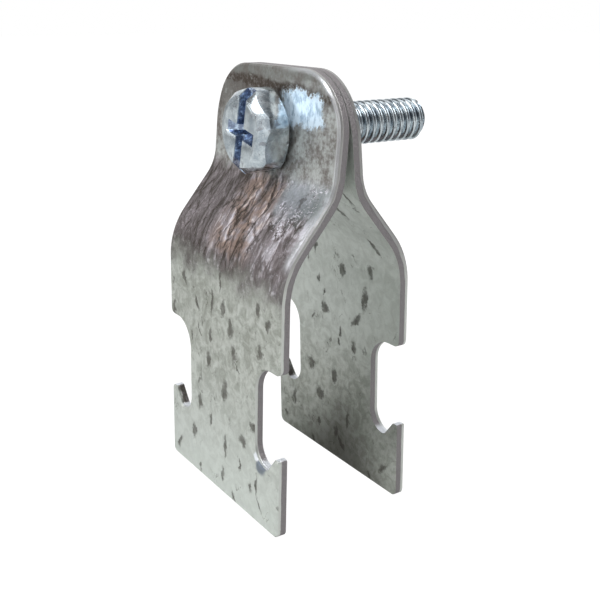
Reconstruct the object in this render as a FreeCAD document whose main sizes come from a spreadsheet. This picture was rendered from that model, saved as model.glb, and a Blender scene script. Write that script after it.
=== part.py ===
import FreeCAD, Part
import math
import os
import Sketcher

# Strut pipe clamp: two bent straps held together by a hex head screw and a nut.
# +Z is up, the feet stand on z = 0, the pipe lies along X and the screw along Y.
# The plane y = 0 is where the two ears meet. All sizes are in millimetres or degrees.

sizeList = [
    ("strap_width", 31.75, "width of both straps along X"),
    ("sheet_thickness", 1.52, "16 gauge galvanised sheet"),
    ("foot_gap", 19.56, "clear gap between the legs at the feet"),
    ("leg_length", 33.4, "straight part of a leg, along its inner face"),
    ("leg_lean", 1.25, "degrees that a leg leans in towards its top"),
    ("shoulder_radius", 10.0, "bend over the pipe, inner face"),
    ("slope_angle", 39.7, "degrees between the slope and the vertical"),
    ("ear_bend_radius", 7.0, "reverse bend under the ear, outer face"),
    ("ear_lean", 5.3, "degrees that the lower part of an ear leans"),
    ("ear_lean_length", 6.514, "leaning part of an ear, along its inner face"),
    ("ear_set_radius", 20.0, "gentle bend where the ears come together, outer face"),
    ("ear_flat", 4.6, "upper part of an ear, where the two lie together"),
    ("ear_gap", 0.1, "clear gap between the two ears where they lie together"),
    ("ear_corner_radius", 8.5, "rounded upper corners of the ears"),
    ("foot_corner_radius", 1.0, "rounded lower corners of the legs"),
    ("rim_bevel", 0.25, "edge that the punch turned over, all round the outer face"),
    ("notch_depth", 6.375, "from the strap's side in to the neck, 19 mm wide, between two notches"),
    ("notch_top", 23.95, "height of the upper end of a notch"),
    ("notch_top_radius", 4.0, "inner upper corner of a notch"),
    ("notch_edge_radius", 1.0, "outer upper corner of a notch"),
    ("pocket_floor", 9.2, "height of the bottom of the pocket behind a hook"),
    ("pocket_small_radius", 1.0, "pocket on its hook side"),
    ("hook_slant", 52.0, "degrees between the hook's flank and the horizontal"),
    ("hook_tip", 11.8, "height of a hook's tip"),
    ("hook_tip_width", 0.95, "level end of a hook, before its corners are rounded"),
    ("hook_tip_radius", 0.35, "rounded corners of a hook's tip"),
    ("bolt_drop", 8.6, "from the top of the ears down to the screw's axis"),
    ("screw_diameter", 6.35, "1/4 inch screw"),
    ("screw_length", 26.7, "under the head to the tip"),
    ("tip_chamfer", 1.0, "chamfer at the screw's tip"),
    ("hole_clearance", 0.4, "radial clearance of the screw in a strap"),
    ("head_flats", 11.11, "7/16 inch across the head's flats"),
    ("head_height", 4.5, "height of the screw's head"),
    ("head_turn", 15.0, "degrees that a corner of the head stands above X"),
    ("head_face_inset", 0.75, "round face of the head, in from the middle of a flat"),
    ("bearing_inset", 0.05, "round bearing faces of the head and the nut, in from a flat"),
    ("head_corner_reach", 6.0, "from the head's axis to its corners, which the forging left round"),
    ("head_chamfer_angle", 48.0, "degrees of the chamfer round the head's face"),
    ("chamfer_angle", 30.0, "degrees of the other chamfers on the head and the nut"),
    ("seat_clearance", 0.03, "head and nut stand off the ears by this much"),
    ("slot_width", 1.9, "driver slot across the head"),
    ("slot_depth", 1.3, "depth of the driver slot"),
    ("slot_turn", 13.0, "degrees between the slot and the vertical"),
    ("cross_width", 1.7, "arms of the cross recess at the face"),
    ("cross_length", 7.2, "tip to tip of the cross recess at the face"),
    ("cross_depth", 2.4, "depth of the cross recess"),
    ("cross_floor_width", 1.0, "arms of the cross recess at its floor"),
    ("cross_floor_length", 3.6, "tip to tip of the cross recess at its floor"),
    ("nut_flats", 11.11, "7/16 inch across the nut's flats"),
    ("nut_thickness", 5.55, "7/32 inch nut"),
    ("nut_turn", 30.0, "degrees that a corner of the nut stands above X"),
    ("nut_countersink", 0.5, "chamfer at both ends of the nut's bore"),
    ("thread_clearance", 0.05, "radial clearance of the screw in the nut"),
    ("cut_margin", 1.0, "how far a cutting outline runs past the edge that it cuts"),
]

doc = FreeCAD.newDocument("strut_pipe_clamp")
sheet = doc.addObject("Spreadsheet::Sheet", "sizes")
value = {}
for row, (alias, number, note) in enumerate(sizeList, start=1):
    sheet.set("A%d" % row, alias)
    sheet.set("B%d" % row, str(number))
    sheet.set("C%d" % row, note)
    sheet.setAlias("B%d" % row, alias)
    value[alias] = number
doc.recompute()


def addDerived(alias, number, note):
    """Puts a size that follows from the others on the sheet, below them."""
    row = len(value) + 1
    sheet.set("A%d" % row, alias)
    sheet.set("B%d" % row, repr(number))
    sheet.set("C%d" % row, note)
    sheet.setAlias("B%d" % row, alias)
    value[alias] = number
    doc.recompute()


def newBody(name):
    body = doc.addObject("PartDesign::Body", name)
    body.Label = name
    return body


def newSketch(body, name, planeRole):
    sketch = body.newObject("Sketcher::SketchObject", name)
    for origin in body.Origin.OriginFeatures:
        if origin.Role == planeRole:
            sketch.AttachmentSupport = [(origin, "")]
    sketch.MapMode = "FlatFace"
    return sketch


def bind(sketch, name, constraint, formula):
    """Adds a named constraint whose value follows a formula on the sheet."""
    sketch.addConstraint(constraint)
    sketch.renameConstraint(sketch.ConstraintCount - 1, name)
    sketch.setExpression("Constraints." + name, formula)


def point(x, y):
    return FreeCAD.Vector(x, y, 0)


def addLine(sketch, start, end):
    return sketch.addGeometry(Part.LineSegment(start, end), False)


def addArc(sketch, centre, radius, startAngle, endAngle):
    circle = Part.Circle(centre, FreeCAD.Vector(0, 0, 1), radius)
    return sketch.addGeometry(Part.ArcOfCircle(circle, startAngle, endAngle), False)


def pocketThroughAll(body, sketch, name):
    pocket = body.newObject("PartDesign::Pocket", name)
    pocket.Profile = sketch
    pocket.Type = "ThroughAll"
    pocket.SideType = "Symmetric"
    return pocket


def edgesAlongY(shape, spots):
    """Names of the edges that run through the sheet along Y at the given (x, z) places."""
    names = []
    for number, edge in enumerate(shape.Edges, start=1):
        ends = [vertex.Point for vertex in edge.Vertexes]
        if len(ends) != 2:
            continue
        for x, z in spots:
            if all(abs(end.x - x) < 0.01 and abs(end.z - z) < 0.01 for end in ends):
                names.append("Edge%d" % number)
    return names


def outerRim(shape, boltHeight):
    """Names of the edges round the outer face, apart from the bolt hole's. The outer face looks
    towards +Y and the cut edge of the sheet square to Y."""
    names = []
    for number, edge in enumerate(shape.Edges, start=1):
        middle = edge.valueAt((edge.FirstParameter + edge.LastParameter) / 2)
        if math.hypot(middle.x, middle.z - boltHeight) < value["screw_diameter"]:
            continue
        slants = sorted(face.normalAt(*face.Surface.parameter(middle)).y
                        for face in shape.ancestorsOfType(edge, Part.Face))
        if abs(slants[0]) < 0.001 and slants[-1] > 0.1:
            names.append("Edge%d" % number)
    return names


def finishEdges(body, base, name, kind, sizeAlias, findEdges):
    """Rounds (Fillet) or bevels (Chamfer) the edges that findEdges names."""
    doc.recompute()
    feature = body.newObject("PartDesign::" + kind, name)
    feature.Base = (base, findEdges(base.Shape))
    feature.setExpression({"Fillet": "Radius", "Chamfer": "Size"}[kind], "sizes." + sizeAlias)
    return feature


def outwardNormal(heading):
    """Outward normal of the sheet where its path climbs at this many degrees from vertical."""
    angle = math.radians(heading)
    return point(math.cos(angle), -math.sin(angle))


def climb(heading, length):
    angle = math.radians(heading)
    return point(math.sin(angle), math.cos(angle)) * length


def advance(step):
    """How far one line or bend of the path carries the inner face."""
    if len(step) == 2:
        return climb(*step)
    before, after, radius, side = step
    return (outwardNormal(before) - outwardNormal(after)) * (side * radius)


def strapPath():
    """The inner face from foot to ear top: lines as (heading, length), bends as
    (heading before, heading after, inner face radius, side of the centre). The slope is as
    long as it takes to bring the ear from the leg to the middle."""
    thickness = value["sheet_thickness"]
    lean = -value["leg_lean"]
    slope = -value["slope_angle"]
    earLean = -value["ear_lean"]
    path = [(lean, value["leg_length"]),
            (lean, slope, value["shoulder_radius"], -1),
            (slope, 0.0),
            (slope, earLean, value["ear_bend_radius"] + thickness, 1),
            (earLean, value["ear_lean_length"]),
            (earLean, 0.0, value["ear_set_radius"] + thickness, 1),
            (0.0, value["ear_flat"])]
    start = point(value["foot_gap"] / 2, 0)
    inward = start.x + sum(advance(step).x for step in path) - value["ear_gap"] / 2
    path[2] = (slope, inward / -climb(slope, 1).x)
    return start, path


def addFace(sketch, start, path, offset):
    """Draws one face of the sheet, offset outwards from the inner one, as tangent lines and
    arcs, and returns each element with its lower and upper vertex."""
    chain = []
    place = start
    for step in path:
        if len(step) == 2:
            shift = outwardNormal(step[0]) * offset
            line = addLine(sketch, place + shift, place + advance(step) + shift)
            chain.append((line, 1, 2))
        else:
            before, after, radius, side = step
            centre = place + outwardNormal(before) * (side * radius)
            if side < 0:
                ends = math.radians(-before), math.radians(-after)
                vertices = 1, 2
            else:
                ends = math.pi + math.radians(-after), math.pi + math.radians(-before)
                vertices = 2, 1
            arc = addArc(sketch, centre, radius - side * offset, *ends)
            chain.append((arc,) + vertices)
        place += advance(step)
    for lower, upper in zip(chain, chain[1:]):
        sketch.addConstraint(Sketcher.Constraint("Tangent", lower[0], lower[2], upper[0], upper[1]))
    return chain


def profileSketch(body):
    """The bent section of a strap, seen along the pipe."""
    sketch = newSketch(body, body.Name + "_section", "YZ_Plane")
    start, path = strapPath()
    thickness = value["sheet_thickness"]
    inner = addFace(sketch, start, path, 0.0)
    outer = addFace(sketch, start, path, thickness)
    leg, shoulder, slope, reverse, leaning, earSet, flat = [element[0] for element in inner]
    outerLeg, outerFlat = outer[0][0], outer[-1][0]
    for low, high in ((outer[1], inner[1]), (outer[3], inner[3]), (outer[5], inner[5])):
        sketch.addConstraint(Sketcher.Constraint("Coincident", low[0], 3, high[0], 3))
    foot = addLine(sketch, start, start + point(thickness / outwardNormal(path[0][0]).x, 0))
    top = addLine(sketch, point(value["ear_gap"] / 2, value["clamp_height"]),
                  point(value["ear_gap"] / 2 + thickness, value["clamp_height"]))
    for line, vertex, face, faceVertex in ((foot, 1, leg, 1), (foot, 2, outerLeg, 1),
                                           (top, 1, flat, 2), (top, 2, outerFlat, 2)):
        sketch.addConstraint(Sketcher.Constraint("Coincident", line, vertex, face, faceVertex))
    sketch.addConstraint(Sketcher.Constraint("Parallel", leg, outerLeg))
    sketch.addConstraint(Sketcher.Constraint("Vertical", flat))
    sketch.addConstraint(Sketcher.Constraint("Vertical", outerFlat))
    sketch.addConstraint(Sketcher.Constraint("Horizontal", top))
    sketch.addConstraint(Sketcher.Constraint("PointOnObject", leg, 1, -1))
    sketch.addConstraint(Sketcher.Constraint("PointOnObject", outerLeg, 1, -1))
    bind(sketch, "foot", Sketcher.Constraint("DistanceX", -1, 1, leg, 1, start.x),
         "sizes.foot_gap / 2")
    bind(sketch, "leg", Sketcher.Constraint("Distance", leg, path[0][1]), "sizes.leg_length")
    bind(sketch, "ear", Sketcher.Constraint("Distance", flat, path[-1][1]), "sizes.ear_flat")
    bind(sketch, "gap", Sketcher.Constraint("DistanceX", -1, 1, flat, 2, value["ear_gap"] / 2),
         "sizes.ear_gap / 2")
    bind(sketch, "leaning", Sketcher.Constraint("Distance", leaning, path[4][1]),
         "sizes.ear_lean_length")
    for line, name, alias in ((leg, "lean", "leg_lean"), (slope, "slope", "slope_angle"),
                              (leaning, "ear_lean", "ear_lean")):
        angle = Sketcher.Constraint("Angle", line, math.radians(90 + value[alias]))
        bind(sketch, name, angle, "90 + sizes." + alias)
    for arc, side, name, alias in ((1, -1, "shoulder", "shoulder_radius"),
                                   (3, 1, "reverse", "ear_bend_radius"),
                                   (5, 1, "set", "ear_set_radius")):
        radius = "sizes." + alias
        thicker = radius + " + sizes.sheet_thickness"
        near, far = (outer[arc][0], inner[arc][0]) if side > 0 else (inner[arc][0], outer[arc][0])
        bind(sketch, name + "_small", Sketcher.Constraint("Radius", near, value[alias]), radius)
        bind(sketch, name + "_large",
             Sketcher.Constraint("Radius", far, value[alias] + thickness), thicker)
    return sketch


def hookTipCorner():
    """Where the hook's slanted flank meets its level tip, as (x, z)."""
    return value["strap_width"] / 2 - value["hook_tip_width"], value["hook_tip"]


def notchSketch(body):
    """The notch at one side of a leg: it lets a strut lip in above the hook. The pocket's round
    on the neck side fills what the hook leaves."""
    sketch = newSketch(body, body.Name + "_notch", "XZ_Plane")
    neck = value["strap_width"] / 2 - value["notch_depth"]
    outside = value["strap_width"] / 2 + value["cut_margin"]
    top, topRadius = value["notch_top"], value["notch_top_radius"]
    floor, small = value["pocket_floor"], value["pocket_small_radius"]
    slant = math.radians(value["hook_slant"])
    tipX, tipZ = hookTipCorner()
    turn = 1.5 * math.pi
    footZ = floor + small * (1 - math.cos(slant))
    flankFoot = point(tipX - (tipZ - footZ) / math.tan(slant), footZ)
    radius = flankFoot.x - small * math.sin(slant) - neck
    ceiling = addLine(sketch, point(outside, top), point(neck + topRadius, top))
    topArc = addArc(sketch, point(neck + topRadius, top - topRadius), topRadius, math.pi / 2, math.pi)
    neckLine = addLine(sketch, point(neck, top - topRadius), point(neck, floor + radius))
    bigArc = addArc(sketch, point(neck + radius, floor + radius), radius, math.pi, turn)
    smallArc = addArc(sketch, point(neck + radius, floor + small), small, turn, turn + slant)
    flank = addLine(sketch, flankFoot, point(tipX, tipZ))
    tip = addLine(sketch, point(tipX, tipZ), point(outside, tipZ))
    side = addLine(sketch, point(outside, tipZ), point(outside, top))
    for first, end, second, begin in ((ceiling, 2, topArc, 1), (topArc, 2, neckLine, 1),
                                      (neckLine, 2, bigArc, 1), (bigArc, 2, smallArc, 1),
                                      (smallArc, 2, flank, 1)):
        sketch.addConstraint(Sketcher.Constraint("Tangent", first, end, second, begin))
    for first, second in ((flank, tip), (tip, side), (side, ceiling)):
        sketch.addConstraint(Sketcher.Constraint("Coincident", first, 2, second, 1))
    sketch.addConstraint(Sketcher.Constraint("Horizontal", ceiling))
    sketch.addConstraint(Sketcher.Constraint("Horizontal", tip))
    sketch.addConstraint(Sketcher.Constraint("Vertical", side))
    sketch.addConstraint(Sketcher.Constraint("Vertical", neckLine))
    bind(sketch, "neck", Sketcher.Constraint("DistanceX", -1, 1, neckLine, 1, neck),
         "sizes.strap_width / 2 - sizes.notch_depth")
    bind(sketch, "outside", Sketcher.Constraint("DistanceX", -1, 1, side, 1, outside),
         "sizes.strap_width / 2 + sizes.cut_margin")
    bind(sketch, "top", Sketcher.Constraint("DistanceY", -1, 1, ceiling, 1, top),
         "sizes.notch_top")
    bind(sketch, "tip", Sketcher.Constraint("DistanceY", -1, 1, tip, 1, tipZ), "sizes.hook_tip")
    bind(sketch, "tip_side", Sketcher.Constraint("DistanceX", -1, 1, tip, 1, tipX),
         "sizes.strap_width / 2 - sizes.hook_tip_width")
    bind(sketch, "floor", Sketcher.Constraint("DistanceY", -1, 1, bigArc, 2, floor),
         "sizes.pocket_floor")
    bind(sketch, "top_radius", Sketcher.Constraint("Radius", topArc, topRadius),
         "sizes.notch_top_radius")
    bind(sketch, "small", Sketcher.Constraint("Radius", smallArc, small),
         "sizes.pocket_small_radius")
    bind(sketch, "slant", Sketcher.Constraint("Angle", flank, slant), "sizes.hook_slant")
    sketch.addConstraint(Sketcher.Constraint("Vertical", bigArc, 3, bigArc, 2))
    return sketch


def earCornerSketch(body):
    """What is cut away outside the rounded upper corner of an ear."""
    sketch = newSketch(body, body.Name + "_ear_corner", "XZ_Plane")
    side, top = value["strap_width"] / 2, value["clamp_height"]
    radius, margin = value["ear_corner_radius"], value["cut_margin"]
    arc = addArc(sketch, point(side - radius, top - radius), radius, 0, math.pi / 2)
    corners = [point(side - radius, top), point(side - radius, top + margin),
               point(side + margin, top + margin), point(side + margin, top - radius),
               point(side, top - radius)]
    lines = [addLine(sketch, a, b) for a, b in zip(corners, corners[1:])]
    for line, after in zip(lines, lines[1:]):
        sketch.addConstraint(Sketcher.Constraint("Coincident", line, 2, after, 1))
    for line, direction in zip(lines, ("Vertical", "Horizontal", "Vertical", "Horizontal")):
        sketch.addConstraint(Sketcher.Constraint(direction, line))
    sketch.addConstraint(Sketcher.Constraint("Coincident", arc, 2, lines[0], 1))
    sketch.addConstraint(Sketcher.Constraint("Coincident", arc, 1, lines[3], 2))
    sketch.addConstraint(Sketcher.Constraint("Vertical", arc, 3, arc, 2))
    sketch.addConstraint(Sketcher.Constraint("Horizontal", arc, 3, arc, 1))
    bind(sketch, "radius", Sketcher.Constraint("Radius", arc, radius), "sizes.ear_corner_radius")
    bind(sketch, "side", Sketcher.Constraint("DistanceX", -1, 1, arc, 1, side),
         "sizes.strap_width / 2")
    bind(sketch, "top", Sketcher.Constraint("DistanceY", -1, 1, arc, 2, top),
         "sizes.clamp_height")
    bind(sketch, "above", Sketcher.Constraint("DistanceY", lines[0], 1, lines[0], 2, margin),
         "sizes.cut_margin")
    bind(sketch, "beside", Sketcher.Constraint("DistanceX", lines[3], 2, lines[3], 1, margin),
         "sizes.cut_margin")
    return sketch


start, path = strapPath()
addDerived("clamp_height", sum((advance(step).y for step in path), start.y),
           "feet to the top of the ears")


def makeStrap(name):
    """One strap, as the rear one stands; the front one is the same piece turned round."""
    body = newBody(name)
    pad = body.newObject("PartDesign::Pad", name + "_sheet")
    pad.Profile = profileSketch(body)
    pad.SideType = "Symmetric"
    pad.setExpression("Length", "sizes.strap_width")
    notch = pocketThroughAll(body, notchSketch(body), name + "_notch_cut")
    earCorner = pocketThroughAll(body, earCornerSketch(body), name + "_ear_corner_cut")
    mirror = body.newObject("PartDesign::Mirrored", name + "_both_sides")
    mirror.Originals = [notch, earCorner]
    for origin in body.Origin.OriginFeatures:
        if origin.Role == "YZ_Plane":
            mirror.MirrorPlane = (origin, [""])
    body.Tip = mirror
    holeSketch = newSketch(body, name + "_hole", "XZ_Plane")
    holeRadius = value["screw_diameter"] / 2 + value["hole_clearance"]
    boltHeight = value["clamp_height"] - value["bolt_drop"]
    circle = holeSketch.addGeometry(Part.Circle(point(0, boltHeight),
                                                FreeCAD.Vector(0, 0, 1), holeRadius), False)
    holeSketch.addConstraint(Sketcher.Constraint("PointOnObject", circle, 3, -2))
    bind(holeSketch, "height",
         Sketcher.Constraint("DistanceY", -1, 1, circle, 3, boltHeight),
         "sizes.clamp_height - sizes.bolt_drop")
    bind(holeSketch, "radius", Sketcher.Constraint("Radius", circle, holeRadius),
         "sizes.screw_diameter / 2 + sizes.hole_clearance")
    hole = pocketThroughAll(body, holeSketch, name + "_bolt_hole")
    side = value["strap_width"] / 2
    tipX, tipZ = hookTipCorner()
    both = (-1, 1)
    corners = (("foot_corners", "foot_corner_radius", [(s * side, 0) for s in both]),
               ("notch_edges", "notch_edge_radius", [(s * side, value["notch_top"]) for s in both]),
               ("hook_tips", "hook_tip_radius", [(s * x, tipZ) for s in both for x in (side, tipX)]))
    last = hole
    for label, radius, spots in corners:
        last = finishEdges(body, last, name + "_" + label, "Fillet", radius,
                           lambda shape, spots=spots: edgesAlongY(shape, spots))
    body.Tip = finishEdges(body, last, name + "_rim", "Chamfer", "rim_bevel",
                           lambda shape: outerRim(shape, boltHeight))
    return body


def polygonSketch(body, name, planeRole, corners):
    """A closed outline whose corners are pairs of formulas on the sheet."""
    sketch = newSketch(body, name, planeRole)
    places = [point(sketch.evalExpression(x), sketch.evalExpression(y)) for x, y in corners]
    lines = [addLine(sketch, start, end) for start, end in zip(places, places[1:] + places[:1])]
    for line, after in zip(lines, lines[1:] + lines[:1]):
        sketch.addConstraint(Sketcher.Constraint("Coincident", line, 2, after, 1))
    for number, (line, place, (x, y)) in enumerate(zip(lines, places, corners)):
        bind(sketch, "x%d" % number, Sketcher.Constraint("DistanceX", -1, 1, line, 1, place.x), x)
        bind(sketch, "y%d" % number, Sketcher.Constraint("DistanceY", -1, 1, line, 1, place.y), y)
    return sketch


def circleSketch(body, name, formula):
    sketch = newSketch(body, name, "XY_Plane")
    radius = sketch.evalExpression(formula)
    circle = sketch.addGeometry(Part.Circle(point(0, 0), FreeCAD.Vector(0, 0, 1), radius), False)
    sketch.addConstraint(Sketcher.Constraint("Coincident", circle, 3, -1, 1))
    bind(sketch, "radius", Sketcher.Constraint("Radius", circle, radius), formula)
    return sketch


def hexagon(flats, turn):
    """Corners of a hexagon; the first one stands this turn above the x axis."""
    reach = "sizes.%s / 2 / cos(30)" % flats
    return [("%s * cos(%d + sizes.%s)" % (reach, angle, turn),
             "%s * sin(%d + sizes.%s)" % (reach, angle, turn)) for angle in range(0, 360, 60)]


def crossOutline(halfLength, halfWidth):
    """Corners of a cross with one arm along the driver slot."""
    steps = [(halfLength, "-" + halfWidth), (halfLength, halfWidth), (halfWidth, halfWidth)]
    turn = "(90 - sizes.slot_turn + %d)"
    corners = []
    for quarter in range(4):
        angle = turn % (90 * quarter)
        for along, across in steps:
            corners.append(("%s * cos%s - (%s) * sin%s" % (along, angle, across, angle),
                            "%s * sin%s + (%s) * cos%s" % (along, angle, across, angle)))
    return corners


def pad(body, sketch, name, length, downwards=False):
    feature = body.newObject("PartDesign::Pad", name)
    feature.Profile = sketch
    feature.Reversed = downwards
    feature.setExpression("Length", length)
    return feature


def turnAway(body, name, corners):
    """Turns off a ring; its section is given by (radius, height) formulas."""
    groove = body.newObject("PartDesign::Groove", name)
    groove.Profile = polygonSketch(body, name + "_section", "XZ_Plane", corners)
    groove.ReferenceAxis = (groove.Profile[0], ["V_Axis"])
    groove.Angle = 360
    return groove


def chamferHexagon(body, name, flats, faceRadius, faceHeight, direction, angle="chamfer_angle"):
    """Turns a hexagon's corners down to a round face; direction is the sign from the face
    towards the metal."""
    corner = "(sizes.%s / 2 / cos(30) + sizes.cut_margin)" % flats
    drop = "(%s - %s) * tan(sizes.%s)" % (corner, faceRadius, angle)
    return turnAway(body, name, [(faceRadius, faceHeight), (corner, faceHeight),
                                 (corner, "%s %s %s" % (faceHeight, direction, drop))])


def makeScrew(name):
    """The screw in its own frame: bearing face on z = 0, head above, shank below."""
    body = newBody(name)
    pad(body, polygonSketch(body, name + "_hexagon", "XY_Plane", hexagon("head_flats", "head_turn")),
        name + "_head", "sizes.head_height")
    shankRadius = "sizes.screw_diameter / 2"
    pad(body, circleSketch(body, name + "_round", shankRadius), name + "_shank",
        "sizes.screw_length", downwards=True)
    beyond = "sizes.head_corner_reach + sizes.cut_margin"
    turnAway(body, name + "_corners", [("sizes.head_corner_reach", "0"), (beyond, "0"),
                                       (beyond, "sizes.head_height"),
                                       ("sizes.head_corner_reach", "sizes.head_height")])
    chamferHexagon(body, name + "_face_chamfer", "head_flats",
                   "(sizes.head_flats / 2 - sizes.head_face_inset)",
                   "sizes.head_height", "-", "head_chamfer_angle")
    chamferHexagon(body, name + "_bearing_chamfer", "head_flats",
                   "(sizes.head_flats / 2 - sizes.bearing_inset)", "0", "+")
    tip = "-sizes.screw_length"
    turnAway(body, name + "_tip", [(shankRadius + " - sizes.tip_chamfer", tip),
                                   (shankRadius + " + sizes.cut_margin", tip),
                                   (shankRadius + " + sizes.cut_margin",
                                    tip + " + sizes.tip_chamfer + sizes.cut_margin")])
    half = "(sizes.head_flats / 2 / cos(30) + sizes.cut_margin)"
    turn = "(90 - sizes.slot_turn)"
    slotCorners = [("%s%s * cos%s - (%s sizes.slot_width / 2) * sin%s" % (a, half, turn, b, turn),
                    "%s%s * sin%s + (%s sizes.slot_width / 2) * cos%s" % (a, half, turn, b, turn))
                   for a, b in (("-", "-"), ("", "-"), ("", ""), ("-", ""))]
    slotSketch = polygonSketch(body, name + "_slot_outline", "XY_Plane", slotCorners)
    slotSketch.setExpression("AttachmentOffset.Base.z", "sizes.head_height")
    slot = body.newObject("PartDesign::Pocket", name + "_slot")
    slot.Profile = slotSketch
    slot.setExpression("Length", "sizes.slot_depth")
    mouth = polygonSketch(body, name + "_cross_mouth", "XY_Plane",
                          crossOutline("sizes.cross_length / 2", "sizes.cross_width / 2"))
    mouth.setExpression("AttachmentOffset.Base.z", "sizes.head_height")
    floor = polygonSketch(body, name + "_cross_floor", "XY_Plane",
                          crossOutline("sizes.cross_floor_length / 2", "sizes.cross_floor_width / 2"))
    floor.setExpression("AttachmentOffset.Base.z", "sizes.head_height - sizes.cross_depth")
    cross = body.newObject("PartDesign::SubtractiveLoft", name + "_cross")
    cross.Profile = mouth
    cross.Sections = [floor]
    cross.Ruled = True
    return body


def makeNut(name):
    """The nut in its own frame: bearing face on z = 0, the rest above."""
    body = newBody(name)
    pad(body, polygonSketch(body, name + "_hexagon", "XY_Plane", hexagon("nut_flats", "nut_turn")),
        name + "_blank", "sizes.nut_thickness")
    bore = "sizes.screw_diameter / 2 + sizes.thread_clearance"
    pocketThroughAll(body, circleSketch(body, name + "_round", bore), name + "_bore")
    sides = (("0", "+"), ("sizes.nut_thickness", "-"))
    for number, (height, direction) in enumerate(sides):
        chamferHexagon(body, "%s_chamfer_%d" % (name, number), "nut_flats",
                       "(sizes.nut_flats / 2 - sizes.bearing_inset)", height, direction)
        turnAway(body, "%s_countersink_%d" % (name, number),
                 [(bore + " - sizes.cut_margin", height), (bore + " + sizes.nut_countersink", height),
                  (bore + " - sizes.cut_margin",
                   "%s %s (sizes.nut_countersink + sizes.cut_margin)" % (height, direction))])
    return body


def bearingSeat(strap, axis, flats):
    """How far out the bearing face of the head or the nut lies: it touches the lower part of
    the leaning ear with the lower rim of its bearing face."""
    radius = value[flats] / 2 - value["bearing_inset"]
    reach = Part.makeCylinder(radius, value["foot_gap"] / 2, axis, FreeCAD.Vector(0, 1, 0))
    touched = strap.Shape.common(reach).optimalBoundingBox(False, False)
    return touched.YMax + value["seat_clearance"]


def failedObjects():
    return [item.Name for item in doc.Objects
            if "Invalid" in item.State or "Error" in item.State]


rearStrap = makeStrap("rear_strap")
frontStrap = makeStrap("front_strap")
clampScrew = makeScrew("clamp_screw")
nut = makeNut("nut")
doc.recompute()

# The front strap is the same stamping turned round, and the screw's head bears on it.
upright, across = FreeCAD.Vector(0, 0, 1), FreeCAD.Vector(1, 0, 0)
axis = FreeCAD.Vector(0, 0, value["clamp_height"] - value["bolt_drop"])
frontStrap.Placement = FreeCAD.Placement(FreeCAD.Vector(), FreeCAD.Rotation(upright, 180))
for piece, flats, side in ((clampScrew, "head_flats", -1), (nut, "nut_flats", 1)):
    place = axis + FreeCAD.Vector(0, side * bearingSeat(rearStrap, axis, flats), 0)
    piece.Placement = FreeCAD.Placement(place, FreeCAD.Rotation(across, -90 * side))
doc.recompute()

pieces = [frontStrap, rearStrap, clampScrew, nut]
failed = failedObjects()
failed += [piece.Label for piece in pieces if piece.Shape.isNull() or not piece.Shape.isValid()]
if failed:
    raise RuntimeError("these objects failed: " + ", ".join(failed))

os.makedirs("parts", exist_ok=True)
for piece in pieces:
    piece.Shape.exportStep("parts/%s.step" % piece.Label)
    box = piece.Shape.BoundBox
    print(piece.Label, "%.1f cubic mm," % piece.Shape.Volume,
          "from (%.2f, %.2f, %.2f)" % (box.XMin, box.YMin, box.ZMin),
          "to (%.2f, %.2f, %.2f)" % (box.XMax, box.YMax, box.ZMax))
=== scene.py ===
import math
from types import SimpleNamespace

import bmesh
import bpy
from mathutils import Matrix, Vector
from mathutils.bvhtree import BVHTree


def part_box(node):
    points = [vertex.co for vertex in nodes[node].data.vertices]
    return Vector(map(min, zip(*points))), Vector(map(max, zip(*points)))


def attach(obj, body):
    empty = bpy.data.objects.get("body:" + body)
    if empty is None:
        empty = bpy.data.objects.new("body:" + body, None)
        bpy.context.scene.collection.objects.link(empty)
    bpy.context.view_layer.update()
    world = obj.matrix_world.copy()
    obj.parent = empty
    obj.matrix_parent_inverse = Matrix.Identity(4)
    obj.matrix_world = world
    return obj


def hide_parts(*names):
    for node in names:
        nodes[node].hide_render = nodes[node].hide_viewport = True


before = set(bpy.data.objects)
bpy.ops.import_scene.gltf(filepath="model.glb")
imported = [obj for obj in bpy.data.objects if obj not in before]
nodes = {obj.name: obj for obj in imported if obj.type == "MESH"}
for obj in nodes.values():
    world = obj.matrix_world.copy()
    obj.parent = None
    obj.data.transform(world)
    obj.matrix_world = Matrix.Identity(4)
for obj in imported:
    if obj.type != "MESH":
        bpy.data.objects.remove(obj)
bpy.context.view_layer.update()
print("frame loaded:", sorted(nodes))

mm = 0.001


# shader maths: expressions on wires add their nodes

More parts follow.
